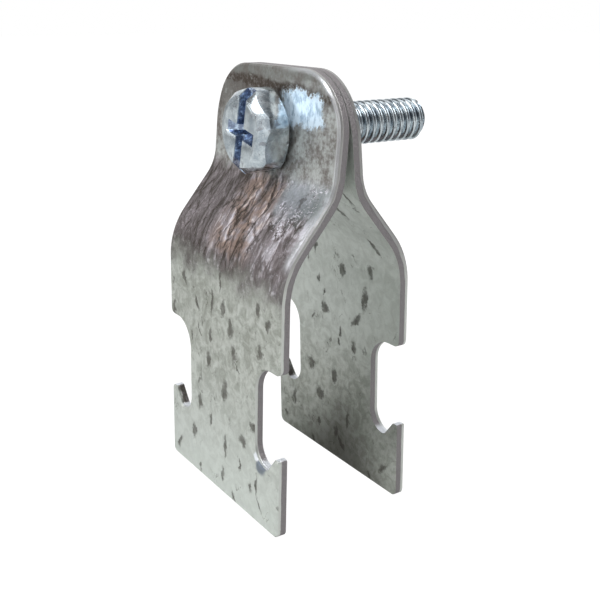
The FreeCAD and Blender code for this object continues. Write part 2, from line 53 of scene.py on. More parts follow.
class Wire:
    def __init__(self, tree, socket=None):
        self.tree = tree
        self.socket = socket

    def add(self, kind, settings=None, sockets=None, output=0):
        node = self.tree.nodes.new(kind)
        for key, setting in (settings or {}).items():
            if key == "curve":
                self.setCurve(node.mapping, setting)
            else:
                setattr(node, key, setting)
        for key, value in (sockets or {}).items():
            if isinstance(value, Wire):
                self.tree.links.new(value.socket, node.inputs[key])
            else:
                node.inputs[key].default_value = value
        return Wire(self.tree, node.outputs[output] if node.outputs else None)

    def setCurve(self, mapping, points):
        curve = mapping.curves[0]
        while len(curve.points) < len(points):
            curve.points.new(0.5, 0.5)
        for point, place in zip(curve.points, points):
            point.location = place
            point.handle_type = "VECTOR"
        mapping.update()

    def maths(self, operation, *others):
        return self.add("ShaderNodeMath", {"operation": operation}, dict(enumerate((self, *others))))

    def __add__(self, other):
        return self.maths("ADD", other)

    def __radd__(self, other):
        return self.maths("ADD", other)

    def __sub__(self, other):
        return self.maths("SUBTRACT", other)

    def __rsub__(self, other):
        return self.add("ShaderNodeMath", {"operation": "SUBTRACT"}, {0: other, 1: self})

    def __mul__(self, other):
        return self.maths("MULTIPLY", other)

    def __rmul__(self, other):
        return self.maths("MULTIPLY", other)

    def __truediv__(self, other):
        return self.maths("DIVIDE", other)

    def __abs__(self):
        return self.maths("ABSOLUTE")

    def least(self, other):
        return self.maths("MINIMUM", other)

    def most(self, other):
        return self.maths("MAXIMUM", other)

    def rise(self, low, high):  # 0 below low, 1 above high, smooth between
        return self.add("ShaderNodeMapRange", {"interpolation_type": "SMOOTHSTEP"},
                        {"Value": self, "From Min": low, "From Max": high})

    def between(self, low, high, soft):  # 1 from low to high, with soft ends
        return self.rise(low - soft, low + soft) * (1 - self.rise(high - soft, high + soft))

    def parts(self):
        node = self.tree.nodes.new("ShaderNodeSeparateXYZ")
        self.tree.links.new(self.socket, node.inputs[0])
        return [Wire(self.tree, socket) for socket in node.outputs]

    def stretched(self, scale, turn=(0, 0, 0), shift=(0, 0, 0)):
        return self.add("ShaderNodeMapping", {},
                        {"Vector": self, "Location": shift, "Rotation": turn, "Scale": scale})

    def times(self, factors, added):
        return self.add("ShaderNodeVectorMath", {"operation": "MULTIPLY_ADD"},
                        {0: self, 1: factors, 2: added})

    def distance(self, spot):
        return self.add("ShaderNodeVectorMath", {"operation": "DISTANCE"}, {0: self, 1: spot},
                        output="Value")

    def cells(self, feature, output, scale=1.0):
        return self.add("ShaderNodeTexVoronoi", {"feature": feature, "voronoi_dimensions": "3D"},
                        {"Vector": self, "Scale": scale, "Randomness": 1.0}, output=output)

    def noise(self, size, detail=3.0, rough=0.55, twist=0.0):  # size in the vector's units
        return self.add("ShaderNodeTexNoise", {"noise_dimensions": "3D"},
                        {"Vector": self, "Scale": 1 / size, "Detail": detail,
                         "Roughness": rough, "Distortion": twist})

    def blend(self, first, second, mode="MIX"):  # self is the factor
        return self.add("ShaderNodeMix", {"data_type": "RGBA", "blend_type": mode, "clamp_factor": True},
                        {0: self, 6: first, 7: second}, output=2)


def newMaterial(name):
    material = bpy.data.materials.new(name)
    material.use_nodes = True
    tree = material.node_tree
    tree.nodes.clear()
    return material, Wire(tree)


def closeMaterial(wire, shader, sockets):
    surface = wire.add(shader, {}, sockets)
    wire.add("ShaderNodeOutputMaterial", {}, {"Surface": surface})


def millimetres(wire):  # object coordinates in mm
    spot = wire.add("ShaderNodeTexCoord", output="Object")
    return wire.add("ShaderNodeVectorMath", {"operation": "SCALE"}, {0: spot, "Scale": 1 / mm})


def rgb(*screen):  # screen colour, 0 to 255, as a linear one
    linear = []
    for part in screen:
        part = part / 255
        linear.append(part / 12.92 if part <= 0.04045 else ((part + 0.055) / 1.055) ** 2.4)
    return (*linear, 1.0)


# camera, at the photograph's viewing angle

view = {
    "place": (106.47 * mm, -67.98 * mm, 69.94 * mm),
    "right": (0.5537, 0.8327, 0.0039),
    "up": (-0.2620, 0.1698, 0.9500),
    "back": (0.7905, -0.5270, 0.3122),
    "lens": 53.75,
    "sensor": 36.0,
    "clip": (0.005, 20.0),
}


def makeCamera():
    data = bpy.data.cameras.new("camera")
    data.lens = view["lens"]
    data.sensor_width = view["sensor"]
    data.clip_start, data.clip_end = view["clip"]
    camera = bpy.data.objects.new("camera", data)
    turn = Matrix((view["right"], view["up"], view["back"])).transposed()
    camera.matrix_world = Matrix.Translation(view["place"]) @ turn.to_4x4()
    bpy.context.scene.collection.objects.link(camera)
    bpy.context.scene.camera = camera


makeCamera()
print("camera placed")


# studio: a white ground and backdrop, soft light from above, darker room behind the camera

studio = {
    "floor_side": 4.0,
    "floor_colour": rgb(226, 227, 226),
    "floor_glow": 0.85,
    "floor_glow_level": 1.16,
    "backdrop_way": (-0.79, 0.53, 0.0),
    "backdrop_edge": (0.25, 0.75),
    "roof_level": 0.95,
    "roof_from": (0.84, 0.96),  # heights on the unit sphere round the object
    "room_level": 0.16,
    "low_level": 0.42,
    "low_to": (0.0, 0.22),
    "cloud_size": 0.3,
    "cloud_edge": (0.40, 0.60),
    "cloud_least": 0.45,
    "cloud_swing": 1.1,
    "lamps": [  # name, place, place aimed at, side, power
        ("key", (0.05, -0.35, 0.57), (0.0, 0.0, 0.05), 0.34, 1.9),
        ("top", (0.30, -0.05, 0.55), (0.0, 0.0, 0.035), 0.40, 1.5),
        ("left", (-0.35, -0.50, 0.25), (0.0, 0.0, 0.035), 0.40, 0.8),
        ("right", (0.55, -0.50, 0.25), (0.0, 0.0, 0.03), 0.90, 1.7),
    ],
}


def makeFloor():
    side = studio["floor_side"] / 2
    mesh = bpy.data.meshes.new("floor")
    mesh.from_pydata([(-side, -side, 0), (side, -side, 0), (side, side, 0), (-side, side, 0)],
                     [], [(0, 1, 2, 3)])
    floor = bpy.data.objects.new("floor", mesh)
    bpy.context.scene.collection.objects.link(floor)
    material, wire = newMaterial("paleFloor")
    paper = wire.add("ShaderNodeBsdfDiffuse", {}, {"Color": studio["floor_colour"]})
    white = wire.add("ShaderNodeEmission", {}, {"Color": (1, 1, 1, 1),
                                                "Strength": studio["floor_glow_level"]})
    seen = wire.add("ShaderNodeLightPath", output="Is Camera Ray")
    closeMaterial(wire, "ShaderNodeMixShader", {0: seen * studio["floor_glow"], 1: paper, 2: white})
    mesh.materials.append(material)


def makeRoom():
    world = bpy.data.worlds.new("studio")
    bpy.context.scene.world = world
    world.use_nodes = True
    world.node_tree.nodes.clear()
    wire = Wire(world.node_tree)
    way = wire.add("ShaderNodeTexCoord", output="Generated")
    height = way.parts()[2]
    roof = height.rise(*studio["roof_from"])
    low = 1 - height.rise(*studio["low_to"])
    room = studio["room_level"]
    level = room + roof * (studio["roof_level"] - room) + low * (studio["low_level"] - room)
    clouds = way.noise(studio["cloud_size"], 2.0).rise(*studio["cloud_edge"])
    level = level * (studio["cloud_least"] + clouds * studio["cloud_swing"])
    toBackdrop = wire.add("ShaderNodeVectorMath", {"operation": "DOT_PRODUCT"},
                          {0: way, 1: studio["backdrop_way"]}, output="Value")
    backdrop = toBackdrop.rise(*studio["backdrop_edge"])
    camera = wire.add("ShaderNodeLightPath", output="Is Camera Ray")
    glossy = wire.add("ShaderNodeLightPath", output="Is Glossy Ray")
    clear = wire.add("ShaderNodeLightPath", output="Is Transmission Ray")
    white = camera.most(backdrop * glossy.most(clear))
    strength = white * (1 - level) + level
    shine = wire.add("ShaderNodeBackground", {}, {"Color": (1, 1, 1, 1), "Strength": strength})
    wire.add("ShaderNodeOutputWorld", {}, {"Surface": shine})


def hangLamps():
    for name, place, target, size, power in studio["lamps"]:
        data = bpy.data.lights.new(name, "AREA")
        data.shape = "SQUARE"
        data.size = size
        data.energy = power
        lamp = bpy.data.objects.new(name, data)
        lamp.location = place
        lamp.rotation_euler = (Vector(target) - Vector(place)).to_track_quat("-Z", "Y").to_euler()
        bpy.context.scene.collection.objects.link(lamp)


makeFloor()
makeRoom()
hangLamps()
bpy.context.scene.view_settings.view_transform = "Standard"
print("studio lit")


# galvanised sheet in three zones, the legs, the worn belt of the bends and the ear, and its
# sheared edges; lengths in mm, and a pair is where something starts to fade in and is full

sheet = {
    "roughness": 0.42,
    "metallic": 0.75,
    "patch_highlight_metallic": 0.30,
    "bump_strength": 0.75,
    "bump_distance": 0.16 * mm,
    "profile_at": 8 * mm,  # a plane clear of the bolt hole and the notches
    "profile_steps": 24,
    "profile_margin": 0.004,  # share of the height left out at the foot and at the top
    "profile_skin": 0.2 * mm,  # below the outer face, where the ray to the inner face starts
    "profile_reach": 20,
}

legs = {
    "zinc": rgb(196, 200, 194),
    "zinc_dull": rgb(152, 155, 147),
    "zinc_foot": rgb(212, 218, 214),
    # dark colour of the flecks, also laid on as painted shade
    "fleck_and_shade": rgb(78, 74, 68),
    "tone": (0.2, 0.8),
    "outer_light": (0.0, 24.0),
    # painted light and painted shade on the inner faces between the straps: heights between which each
    # fades
    "inner_light": (10.0, 28.0),
    "inner_shade": (2.0, 17.0),
    "mark_bend": 2.1,  # how far noise moves the outlines of the marks
    "mark_edge": (0.65, 1.45),
    "scattered": [(2.9, 5.2, 0.26, 0.8), (1.7, 3.4, 0.24, 0.5)],  # width, length, size, strength
    "pocket_smear_and_glint": [  # at the front pocket on the right, a dark smear and a painted glint: across, up, radius, colour
        (11.4, 9.2, 1.5, rgb(96, 106, 122)),
        (10.2, 10.2, 0.75, rgb(240, 244, 250)),
    ],
}

belt = {
    "deep": rgb(66, 58, 54),
    "grey": rgb(158, 150, 154),
    "brown": rgb(236, 216, 196),
    "lilac": rgb(238, 236, 246),
    "calm": rgb(144, 153, 152),
    "calm_light": rgb(190, 194, 204),
    "glare": rgb(240, 244, 250),
    "from": (32.6, 38.4),
    "ground": (0.40, 0.53),
    "ridges": (0.54, 0.64),
    "worn_to": (-7.0, -2.0),
    "brown_across": (-4.5, 6.0),
    "brown_height": (36.5, 50.5),
    "calm_across": (4.5, 7.5),
    "calm_height": (42.0, 45.0),
    "sunk_height": (33.0, 38.4),
    "low_right": (3.5, 8.0),
    "low_right_to": (38.5, 43.0),
    "glare_edge": 15.9,
    "glare_width": (0.1, 2.2),
    "glare_height": (38.5, 46.5),
}

ear = {
    "dark": rgb(118, 112, 108),
    "light": rgb(188, 192, 190),
    "band": rgb(72, 62, 54),
    "top": rgb(132, 136, 132),
    # a patch beside the head, painted bright as a highlight
    "patch_highlight": rgb(208, 226, 240),
    "patch_highlight_dull": rgb(150, 174, 194),
    # colour of the painted highlight along the turned-over rim
    "rim": rgb(240, 244, 250),
    "from": (46.5, 49.0),
    "patch_highlight_across": (2.2, 12.2),
    "patch_highlight_height": (54.9, 59.3),
    "band_height": (58.6, 60.6),
    "left_band_to": (-8.0, 0.0),
    "left_band_from": (54.0, 57.0),
    "top_from": (60.3, 60.9),
    "corner_radius": 8.5,
    "rim_highlight_width": (0.15, 0.7),
    "rim_highlight_across": (0.0, 9.0),
}

edges = {
    "light": rgb(200, 203, 199),
    "dark": rgb(144, 140, 142),
    # colour of the painted highlight on cut faces that face upwards, low on the straps
    "bright": rgb(240, 244, 250),
    "bevel": rgb(118, 116, 116),
    "torn_from": (0.38, 0.47),  # share of the sheet's thickness
    "dark_from": (33.0, 40.0),
    "bright_to": (12.0, 20.0),
    "groove": (-0.02, 0.10),
    "bevel_from": (30.0, 36.0),
}

# flecks on the outer face of the front leg and on the inner face of the rear leg, by degrees
# that the top leans towards +X and by slimness, each as across, up and length
frontFlecks = [
    (3, 2.1, [(-14.6, 25.3, 2.2), (0.9, 29.2, 2.5), (10.4, 31.9, 1.9), (13.0, 30.1, 1.7),
              (-8.8, 22.3, 1.2), (-2.8, 24.2, 1.6), (2.9, 26.9, 2.8), (-3.5, 20.2, 2.5),
              (3.9, 23.3, 2.5), (1.3, 16.9, 3.1), (-6.3, 12.4, 2.3), (-8.4, 6.6, 2.5),
              (0.9, 3.2, 2.0), (8.7, 4.6, 1.6), (-6.4, 1.4, 1.2)]),
    (3, 5.0, [(-2.3, 29.4, 3.2), (0.1, 33.0, 2.8), (-5.5, 25.7, 1.6), (1.5, 8.2, 3.4),
              (5.8, 7.1, 1.9), (10.3, 5.7, 2.8)]),
    (-25, 2.4, [(-10.9, 30.8, 2.0), (-7.0, 27.9, 1.9), (11.2, 26.0, 2.2), (3.9, 0.9, 1.9)]),
    (-35, 6.0, [(-4.1, 30.3, 1.2), (-6.2, 23.8, 2.0), (4.9, 21.5, 2.0), (11.2, 3.0, 2.4)]),
    (25, 2.8, [(-13.5, 2.8, 2.2), (-2.9, 10.7, 1.9)]),
    (45, 1.0, [(6.4, 11.2, 1.7), (9.1, 14.2, 1.3)]),
]
rearFlecks = [
    (0, 2.0, [(2.4, 32.2, 2.3), (9.3, 33.5, 2.1), (0.2, 14.1, 2.4), (0.6, 4.6, 1.7),
              (1.9, 22.1, 1.3), (1.6, 20.3, 1.1), (5.3, 20.7, 1.8), (-5.7, 0.5, 1.2),
              (9.4, 0.7, 1.2), (-4.0, 4.4, 1.3)]),
    (3, 3.4, [(7.9, 29.0, 3.4), (3.7, 7.6, 2.5), (-3.9, 29.4, 1.5), (-11.4, 6.2, 3.0),
              (-6.6, 32.5, 1.4), (-4.5, 34.6, 2.2), (-2.5, 27.7, 1.0)]),
    (-40, 3.2, [(13.0, 45.7, 1.9), (8.7, 42.7, 2.3), (11.6, 37.7, 2.5), (1.9, 3.0, 2.7)]),
    (40, 2.8, [(5.8, 25.2, 2.9), (12.7, 3.2, 2.6), (-5.3, 22.9, 1.3)]),
    (0, 1.2, [(-2.3, 25.0, 1.9), (-6.1, 14.3, 1.9), (-3.8, 9.8, 2.0), (-14.4, 2.2, 1.3)]),
]


def sheetProfile(node, side):  # how far the outer and the inner face lie from the middle plane
    tree = BVHTree.FromObject(node, bpy.context.evaluated_depsgraph_get())
    low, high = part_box(node.name)
    inwards = Vector((0, -side, 0))
    reach = sheet["profile_reach"]
    steps = sheet["profile_steps"]
    margin = sheet["profile_margin"]
    outer = []
    inner = []
    for step in range(steps + 1):
        height = low.z + (high.z - low.z) * (margin + (1 - 2 * margin) * step / steps)
        start = Vector((sheet["profile_at"], side * 2 * reach * mm, height))
        hit = tree.ray_cast(start, inwards)[0]
        through = tree.ray_cast(hit + inwards * sheet["profile_skin"], inwards)[0]
        share = (height - low.z) / (high.z - low.z)
        outer.append((share, abs(hit.y) / mm / reach))
        inner.append((share, abs(through.y) / mm / reach))
    return outer, inner


def sheetGround(wire, node, side, seed):  # places, directions and noises that the zones share
    place = millimetres(wire)
    x, y, z = place.parts()
    sideways, facing, upward = wire.add("ShaderNodeTexCoord", output="Normal").parts()
    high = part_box(node.name)[1]
    share = z / (high.z / mm)
    outerFace, innerFace = [
        wire.add("ShaderNodeFloatCurve", {"curve": line}, {"Value": share}) * sheet["profile_reach"]
        for line in sheetProfile(node, side)]
    moved = place.stretched((1, 1, 1), shift=(seed * 17.0, seed * 5.0, seed * 11.0))
    along = moved.stretched((1, 0.32, 0.32))
    outer = (facing * side).rise(0.0, 0.2)
    return SimpleNamespace(
        side=side, seed=seed, place=place, x=x, z=z, moved=moved, along=along,
        width=high.x / mm, top=high.z / mm, sideways=sideways, facing=facing, upward=upward,
        outer=outer, through=(outerFace - y * side) / (outerFace - innerFace),
        across=x * (-side),  # towards the right as seen from outside
        ragged=moved.noise(2.2, 4.0) - 0.5, fine=moved.noise(0.35, 3.0), broad=moved.noise(9.0, 2.0),
        grain=moved.stretched((1, 1, 0.7)).noise(0.7, 3.0), curdle=moved.noise(1.6, 4.0, 0.62, 0.8),
        ridge=along.noise(1.3, 4.0, 0.6, 1.1), crust=moved.noise(0.55, 4.0, 0.7, 0.4),
        mottle=moved.noise(0.6, 4.0, 0.72), tooth=moved.noise(0.5, 3.0, 0.7) - 0.5,
        wide=wire.add("ShaderNodeTexNoise", {}, {"Vector": moved, "Scale": 0.7, "Detail": 4.0,
                                                 "Roughness": 0.6}, output="Color"),
        shown=outer if side < 0 else 1 - outer)


def placedMarks(at, bent, flecks):
    nearest = None
    for lean, slimness, spots in flecks:
        turn = Matrix.Rotation(math.radians(-lean), 3, "Y")
        leaned = bent.stretched((1, 1, 1), turn.to_euler()).stretched((slimness, 0, 1))
        for across, up, length in spots:
            middle = legs["mark_bend"] / 2
            centre = turn @ Vector((across + middle, 0, up + middle))
            far = leaned.distance((centre.x * slimness, 0, centre.z)) * (2 / length)
            nearest = far if nearest is None else nearest.least(far)
    return (1 - (nearest + (at.fine - 0.5) * 1.1).rise(*legs["mark_edge"])) * at.shown


def scatteredMarks(at, bent, marks):
    for width, length, share, strength in legs["scattered"]:
        field = bent.stretched((1 / width, 0.02, 1 / length),
                               shift=(at.seed * 3.0 + strength, 0.3, strength))
        cell = field.cells("F1", "Distance")
        luck = field.cells("F1", "Color").parts()[0]
        size = luck.rise(0.35, 0.95) * share * (1 - at.shown * 0.55)
        spots = (1 - (cell - size + (at.fine - 0.5) * 0.12).rise(-0.07, 0.04)) * size.rise(0.02, 0.06)
        marks = marks.most(spots * strength)
    hair = abs(bent.stretched((1, 1, 0.35)).noise(3.2, 2.0, 0.5, 1.0) - 0.5)
    hair = (1 - hair.rise(0.002, 0.010)) * at.moved.noise(3.0, 2.0).rise(0.54, 0.60)
    return marks.most(hair * 0.7)


def paintLegs(at, flecks):
    tone = (at.broad - 0.5) * 0.5 + (at.grain - 0.5) * 0.4 + (at.curdle - 0.5) * 1.5 + 0.5
    tone = tone + (at.moved.noise(0.22, 2.0) - 0.5) * 0.35
    plain = tone.rise(*legs["tone"]).blend(legs["zinc_dull"], legs["zinc"])
    low = 1 - (at.z + (at.broad - 0.5) * 8).rise(*legs["outer_light"])
    plain = (at.outer * low * 0.7).blend(plain, legs["zinc_foot"])
    # painted light: the inner faces grow paler higher up, clear of the other strap
    plain = ((1 - at.outer) * at.z.rise(*legs["inner_light"]) * 0.55).blend(plain, legs["zinc_foot"])
    # painted shade: the inner faces darken towards the foot between the straps, in the flecks' dark
    # colour
    shade = 1 - (at.z + abs(at.across + 2.0) * 0.9).rise(*legs["inner_shade"])
    plain = ((1 - at.outer) * shade * 0.75).blend(plain, legs["fleck_and_shade"])

    bend = (legs["mark_bend"], 0.0, legs["mark_bend"])
    bent = at.wide.times(bend, at.place)
    marks = scatteredMarks(at, bent, placedMarks(at, bent, flecks))
    plain = (marks * (0.3 + at.grain * 0.85)).blend(plain, legs["fleck_and_shade"])
    if at.side < 0:
        # a dark smear at the front pocket, and a painted glint beside it
        for across, up, radius, colour in legs["pocket_smear_and_glint"]:
            pocketSpot = at.place.stretched((1, 0, 1)).distance((across, 0, up))
            pocketSpot = (1 - (pocketSpot + at.ragged * 1.5).rise(radius * 0.5, radius)) * at.outer
            plain = (pocketSpot * 0.85).blend(plain, colour)
    return plain, marks


def beltHeight(at):  # ridges drawn up along the sheet, with cracks and their lips
    swell = at.along.noise(2.8, 2.0, 0.5, 0.5)
    plates = at.wide.times((1.3, 0.5, 0.5), at.along)
    seam = plates.cells("DISTANCE_TO_EDGE", "Distance", 0.62)
    crack = (1 - (seam + (at.crust - 0.5) * 0.10).rise(0.01, 0.085)) * swell.rise(0.40, 0.50)
    lip = seam.between(0.10, 0.17, 0.03) * at.ridge.rise(0.50, 0.60)
    return at.ridge * 0.45 + swell * 0.35 + at.crust * 0.2 - crack * 0.10 + lip * 0.05


def paintBelt(at):
    foot = at.z + 1.3 + at.ragged * 5 + (at.moved.noise(4.5, 3.0) - 0.5) * 6 + (at.curdle - 0.5) * 4
    cover = foot.rise(*belt["from"]) * at.outer
    height = beltHeight(at)
    wavy = at.z + at.ragged * 6
    colour = height.rise(*belt["ground"]).blend(belt["deep"], belt["grey"])
    ridges = (height + at.across * 0.004).rise(*belt["ridges"])
    colour = (ridges * 0.75).blend(colour, belt["lilac"])
    worn = (1 - at.across.rise(*belt["worn_to"])) * at.crust.rise(0.36, 0.56)
    colour = (worn * 0.6).blend(colour, belt["deep"])
    brown = at.across.between(*belt["brown_across"], 2.5) * wavy.between(*belt["brown_height"], 2.5)
    tinted = brown * at.moved.noise(2.2, 4.0).rise(0.38, 0.56)
    colour = tinted.blend(colour, belt["brown"], "MULTIPLY")

    calm = (at.across + at.ragged * 5).rise(*belt["calm_across"]) * wavy.rise(*belt["calm_height"])
    calmTone = (at.broad + (at.fine - 0.5) * 0.4).rise(0.3, 0.7)
    colour = (calm * 0.8).blend(colour, calmTone.blend(belt["calm"], belt["calm_light"]))
    blotch = calm * at.moved.noise(1.6, 4.0, 0.65).rise(0.54, 0.62) * at.across.rise(8.0, 10.5)
    colour = (blotch * 0.6).blend(colour, belt["deep"])
    curl = abs(at.moved.noise(1.9, 3.0, 0.6, 1.2) - 0.5)
    scratch = (1 - curl.rise(0.004, 0.02)) * at.crust.rise(0.42, 0.52)
    scratch = scratch * at.moved.noise(3.0, 1.0).rise(0.46, 0.56)
    colour = (scratch * at.across.rise(3.0, 7.0)).blend(colour, belt["lilac"])

    sunk = foot.between(*belt["sunk_height"], 2.2) * at.moved.noise(1.1, 4.0, 0.65).rise(0.35, 0.52)
    colour = (sunk * 0.9).blend(colour, belt["deep"])
    lowRight = at.across.rise(*belt["low_right"]) * (1 - wavy.rise(*belt["low_right_to"]))
    colour = (lowRight * 0.3).blend(colour, belt["grey"])
    colour = (lowRight * at.crust.rise(0.38, 0.58) * 0.55).blend(colour, belt["deep"])
    inset = belt["glare_edge"] - at.across + at.ragged * 1.4 + at.tooth * 0.8
    glare = (1 - inset.rise(*belt["glare_width"])) * at.z.between(*belt["glare_height"], 1.2)
    colour = (glare * 0.6).blend(colour, belt["glare"])
    return colour, cover, height, calm


def paintEar(at):
    cover = (at.z + at.ragged * 3).rise(*ear["from"]) * at.outer
    tone = at.mottle * 0.45 + at.moved.noise(2.8, 3.0) * 0.4 + at.ridge * 0.15
    colour = tone.rise(0.38, 0.62).blend(ear["dark"], ear["light"])

    # a patch beside the head, painted bright as a highlight
    patch_highlight = (at.across + at.ragged * 4 + at.tooth * 3).between(*ear["patch_highlight_across"], 0.5)
    patch_highlight = patch_highlight * (at.z + at.ragged * 3 + at.tooth * 3).between(*ear["patch_highlight_height"], 0.4)
    bright = at.moved.stretched((1, 1, 0.5)).noise(0.7, 4.0, 0.7).rise(0.36, 0.56)
    colour = patch_highlight.blend(colour, bright.blend(ear["patch_highlight_dull"], ear["patch_highlight"]))

    # a brown band above it and at the left, and a paler one at the top
    band = (at.z + at.ragged * 2.5 + at.across * 0.06).between(*ear["band_height"], 0.6) * (1 - patch_highlight)
    left = (at.z + at.ragged * 4).rise(*ear["left_band_from"])
    left = left * (1 - at.across.rise(*ear["left_band_to"]))
    colour = (band.most(left * 0.7) * at.mottle.rise(0.30, 0.52)).blend(colour, ear["band"])
    topBand = (at.z + at.ragged * 1.6 + at.tooth * 0.8).rise(*ear["top_from"])
    colour = (topBand * 0.8).blend(colour, tone.rise(0.36, 0.6).blend(ear["dark"], ear["top"]))

    # a painted highlight along the rim that the punch turned over
    radius = ear["corner_radius"]
    overX = (abs(at.across) - (at.width - radius)).most(0.0)
    overZ = (at.z - (at.top - radius)).most(0.0)
    rim = radius - (overX * overX + overZ * overZ).maths("SQRT") + (at.mottle - 0.5) * 0.8
    line = (1 - rim.rise(*ear["rim_highlight_width"])) * at.z.rise(46.0, 50.0)
    colour = (line * at.across.rise(*ear["rim_highlight_across"]) * 0.5).blend(colour, ear["rim"])
    return colour, cover, patch_highlight


def paintEdges(at):  # burnished next to the outer face, torn next to the inner one
    cover = 1 - abs(at.facing).rise(0.42, 0.62)
    torn = (at.through + at.ragged * 0.12).rise(*edges["torn_from"])
    colour = (torn + (at.fine - 0.5) * 0.4).rise(0.0, 1.0).blend(edges["light"], edges["dark"])
    high = at.z.rise(*edges["dark_from"])
    colour = (high * 0.6).blend(colour, edges["dark"])
    flank = at.sideways.rise(0.5, 0.75) * at.upward.rise(0.4, 0.6) * (1 - at.x.rise(-1.0, 1.0))
    colour = (flank * at.curdle.rise(0.35, 0.6) * 0.9).blend(colour, legs["fleck_and_shade"])
    # painted highlight on cut faces that face upwards, low on the straps
    bright = at.upward.rise(0.75, 0.95) * (1 - at.z.rise(*edges["bright_to"]))
    colour = (bright * 0.8).blend(colour, edges["bright"])
    groove = at.through.between(*edges["groove"], 0.03) * (1 - high)
    return (groove * 0.7).blend(colour, legs["fleck_and_shade"]), cover, torn


def sheetMaterial(node, side, flecks, seed):
    material, wire = newMaterial(node.name + "Sheet")
    at = sheetGround(wire, node, side, seed)
    legColour, marks = paintLegs(at, flecks)
    beltColour, onBelt, height, calm = paintBelt(at)
    earColour, onEar, patch_highlight = paintEar(at)
    edgeColour, onEdge, torn = paintEdges(at)
    face = onEar.blend(onBelt.blend(legColour, beltColour), earColour)
    bevel = abs(at.sideways).between(0.52, 0.86, 0.12) * at.outer * at.z.rise(*edges["bevel_from"])
    colour = onEdge.blend((bevel * 0.6).blend(face, edges["bevel"]), edgeColour)

    metallic = sheet["metallic"] - patch_highlight * onEar * (sheet["metallic"] - sheet["patch_highlight_metallic"])
    rough = sheet["roughness"] + (at.fine - 0.5) * 0.16 + marks * 0.15 - onBelt * 0.08
    rough = rough + onEdge * torn * 0.22 + bevel * 0.25
    rolled = onBelt * (1 - onEar * 0.6) * (1 - calm * 0.7)
    relief = at.fine * 0.12 + height * rolled * 3.0 - marks * 0.3 + onEdge * torn * at.fine * 1.2
    bump = wire.add("ShaderNodeBump", {}, {"Strength": sheet["bump_strength"],
                                           "Distance": sheet["bump_distance"], "Height": relief})
    closeMaterial(wire, "ShaderNodeBsdfPrincipled", {
        "Base Color": colour, "Metallic": metallic, "Roughness": rough, "Normal": bump})
    return material


straps = [("front_strap", -1, frontFlecks, 1), ("rear_strap", 1, rearFlecks, 2)]
for name, side, flecks, seed in straps:
    node = nodes[name]
    material = sheetMaterial(node, side, flecks, seed)
    node.data.materials.clear()
    node.data.materials.append(material)
print("straps finished")


# zinc plating of the screw and the nut

plating = {
    "colour": rgb(214, 223, 228),
    "shade": rgb(160, 171, 180),
    "stain": rgb(112, 110, 116),
    # painted shade in the driver recess, and painted glints in it
    "recess": rgb(120, 132, 156),
    "recess_glint": rgb(196, 214, 236),
    "recess_reach": (4.7, 4.8),  # from the head's axis, mm
    "recess_from": (0.14, 0.26),  # below the face
    "recess_to": (4.0, 4.1),
    "slot_lean": 13.0,  # degrees from the vertical
    "slot_half": (0.95, 1.0),
    "slot_reach": (4.6, 4.7),
    "slot_to": (1.5, 1.6),
    "ring": (4.05, 4.40),  # turned into the face
    "ring_to": (0.05, 0.1),
    "roughness": 0.17,
    "bump_strength": 0.3,
    "bump_distance": 0.03 * mm,
}


def paintRecess(place, face, axis, moved):  # where the driver recess lies, and its colour: painted shade with painted glints
    x, y, z = place.parts()
    height = z - axis
    depth = y - face
    reach = (x * x + height * height).maths("SQRT")
    sunk = (1 - reach.rise(*plating["recess_reach"])) * depth.rise(*plating["recess_from"])
    lean = math.radians(plating["slot_lean"])
    across = x * math.cos(lean) - height * math.sin(lean)
    inSlot = reach.rise(*plating["slot_reach"]) * (1 - abs(across).rise(*plating["slot_half"]))
    sunk = sunk + inSlot * (1 - depth.rise(*plating["slot_to"]))
    glint = moved.noise(0.7, 3.0, 0.65).rise(0.44, 0.66)
    colour = glint.blend(plating["recess"], plating["recess_glint"])
    ring = reach.between(*plating["ring"], 0.10) * (1 - depth.rise(*plating["ring_to"]))
    return sunk * (1 - depth.rise(*plating["recess_to"])), colour, ring


def platingMaterial(name, seed, head=None):
    material, wire = newMaterial(name)
    place = millimetres(wire)
    moved = place.stretched((1, 1, 1), shift=(seed * 13.0, 0, seed * 7.0))
    cloud = moved.noise(1.6, 3.0)
    grit = moved.noise(0.18, 3.0, 0.65)
    colour = (cloud + (grit - 0.5) * 0.5).rise(0.3, 0.7).blend(plating["shade"], plating["colour"])
    stain = moved.noise(1.1, 4.0, 0.6, 0.8).rise(0.56, 0.68)
    colour = (stain * 0.55).blend(colour, plating["stain"])
    relief = grit * 0.6 + cloud * 1.6
    if head is not None:
        sunk, pit, ring = paintRecess(place, *head, moved)
        colour = sunk.blend(colour, pit)
        relief = relief + ring * 1.5
    rough = plating["roughness"] + (grit - 0.5) * 0.2 + (cloud - 0.5) * 0.12 + stain * 0.12
    bump = wire.add("ShaderNodeBump", {}, {"Strength": plating["bump_strength"],
                                           "Distance": plating["bump_distance"], "Height": relief})
    closeMaterial(wire, "ShaderNodeBsdfPrincipled", {
        "Base Color": colour, "Metallic": 1.0, "Roughness": rough, "Normal": bump})
    return material


# threads: one tree winds a grid round the bolt axis, its rows along the helix

thread = {
    "pitch": 1.27 * mm,
    "major": 3.175 * mm,
    "depth": 0.62 * mm,
    "rows_a_pitch": 16,
    "steps_a_turn": 64,
    "crest_share": 0.16,
    "root_share": 0.20,
    "rounding": 0.0005,  # keeps whole quotients whole
    "weld": 0.004 * mm,
}


